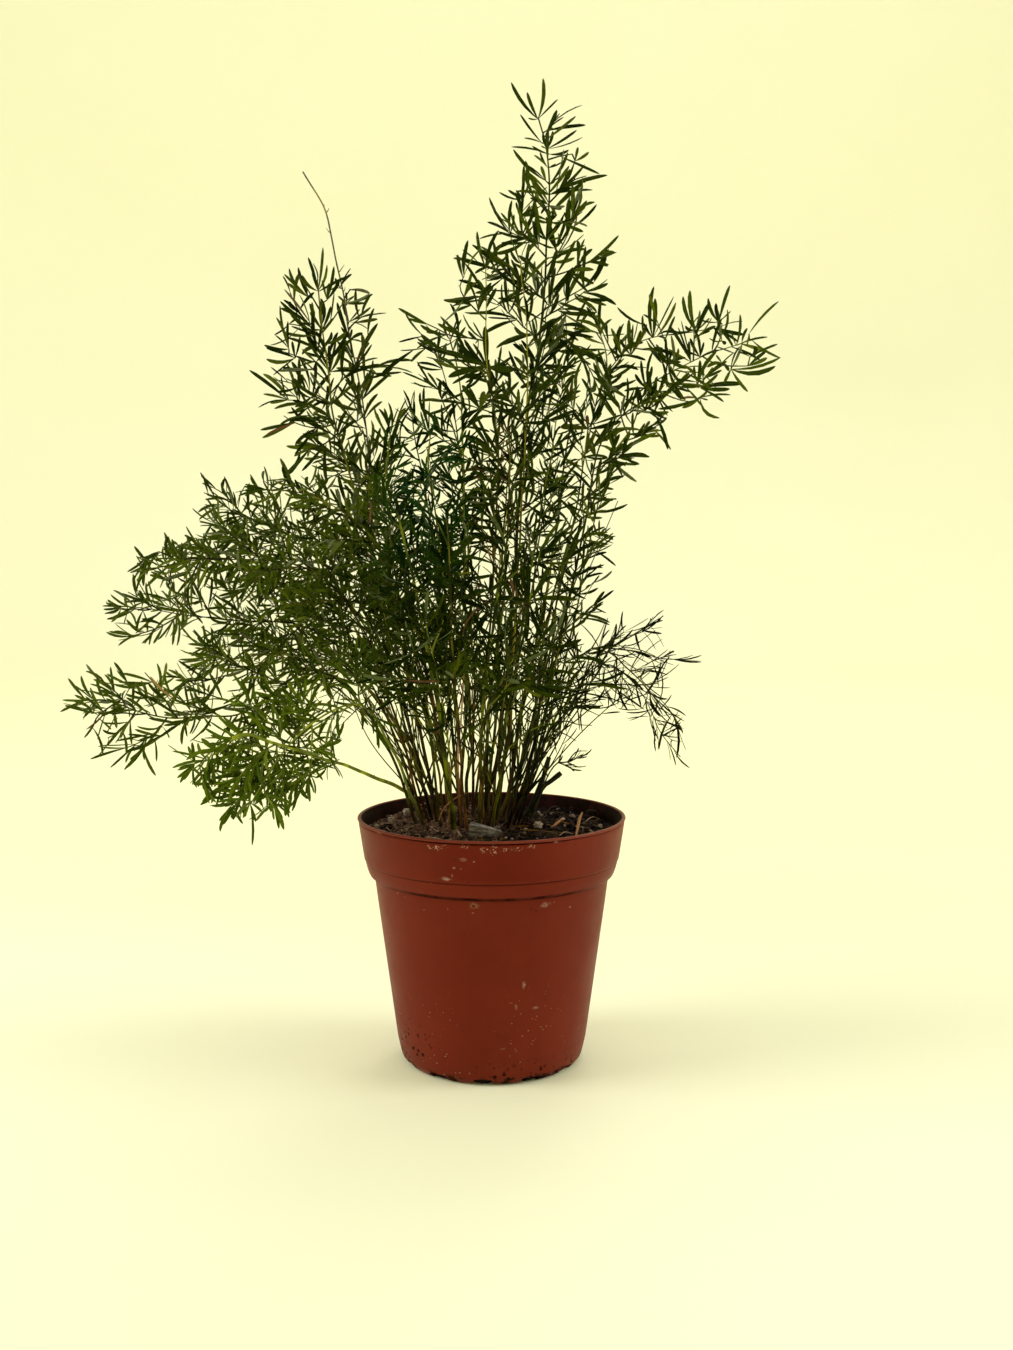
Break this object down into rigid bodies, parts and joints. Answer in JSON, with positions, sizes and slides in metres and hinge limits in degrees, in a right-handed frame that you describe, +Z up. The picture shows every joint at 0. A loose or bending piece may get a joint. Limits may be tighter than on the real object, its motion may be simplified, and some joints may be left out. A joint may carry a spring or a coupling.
{
  "type": "potted sprengeri asparagus fern",
  "caption": "Bushy asparagus fern: a clump of arching wiry stems with needle-like leaflets, growing in a round tapered plastic nursery pot filled with potting mix.",
  "frame": {"origin": "middle of the pot's flat underside", "axes": "+Z up, +X to the right and +Y away as the plant is seen from its front"},
  "size_m": [0.278, 0.2248, 0.3821],
  "materials": {
    "terracotta_plastic": "semi-matt moulded polypropylene in terracotta red, dusty, with lime specks and soil smears",
    "potting_mix": "dark crumbly bark and peat mix with fibres and grit",
    "weathered_wood": "grey weathered chip with split grain",
    "pumice": "rough porous pale grit",
    "bark": "rough dark bark",
    "dry_straw": "dry orange-brown needle",
    "dead_stem": "dead dry stem, tan to orange-brown",
    "cut_stub": "blackened cut stem end",
    "foliage_dark": "dark green leaflets with a faint grey sheen on olive stems",
    "foliage_olive": "olive green leaflets on brownish stems",
    "foliage_fresh": "brighter green leaflets with a few yellowed ones",
    "foliage_young": "young light green leaflets and stem",
    "foliage_browned": "green frond with dried brown leaflets"
  },
  "bodies": {
    "root": {"nursery_pot": "terracotta_plastic", "potting_mix": "potting_mix", "wood_chip": "weathered_wood", "pumice_left": "pumice", "pumice_front": "pumice", "pumice_right": "pumice", "bark_left": "bark", "bark_right": "bark", "straw": "dry_straw", "dead_stem_1": "dead_stem", "dead_stem_2": "dead_stem", "cut_stub_1": "cut_stub", "cut_stub_2": "cut_stub", "frond_01": "foliage_dark", "frond_02": "foliage_dark", "frond_03": "foliage_olive", "frond_04": "foliage_dark", "frond_05": "foliage_dark", "frond_06": "foliage_fresh", "frond_07": "foliage_fresh", "frond_08": "foliage_dark", "frond_09": "foliage_dark", "frond_10": "foliage_dark", "frond_11": "foliage_dark", "frond_12": "foliage_dark", "frond_13": "foliage_olive", "frond_14": "foliage_olive", "frond_15": "foliage_dark", "frond_16": "foliage_young", "frond_17": "foliage_young", "frond_18": "foliage_dark", "frond_19": "foliage_dark", "frond_20": "foliage_dark", "frond_21": "foliage_dark", "frond_22": "foliage_dark", "frond_23": "foliage_dark", "frond_24": "foliage_dark", "frond_25": "foliage_dark", "frond_26": "foliage_fresh", "frond_27": "foliage_dark", "frond_28": "foliage_dark", "frond_29": "foliage_dark", "frond_30": "foliage_dark", "frond_31": "foliage_dark", "frond_32": "foliage_dark", "frond_33": "foliage_dark", "frond_34": "foliage_fresh", "frond_35": "foliage_browned", "frond_36": "foliage_dark", "frond_37": "foliage_dark", "frond_38": "foliage_dark", "frond_39": "foliage_dark", "frond_40": "foliage_dark", "frond_41": "foliage_fresh", "frond_42": "foliage_fresh", "frond_43": "foliage_olive", "frond_44": "foliage_olive", "frond_45": "foliage_olive", "frond_46": "foliage_olive"}
  },
  "joints": []
}
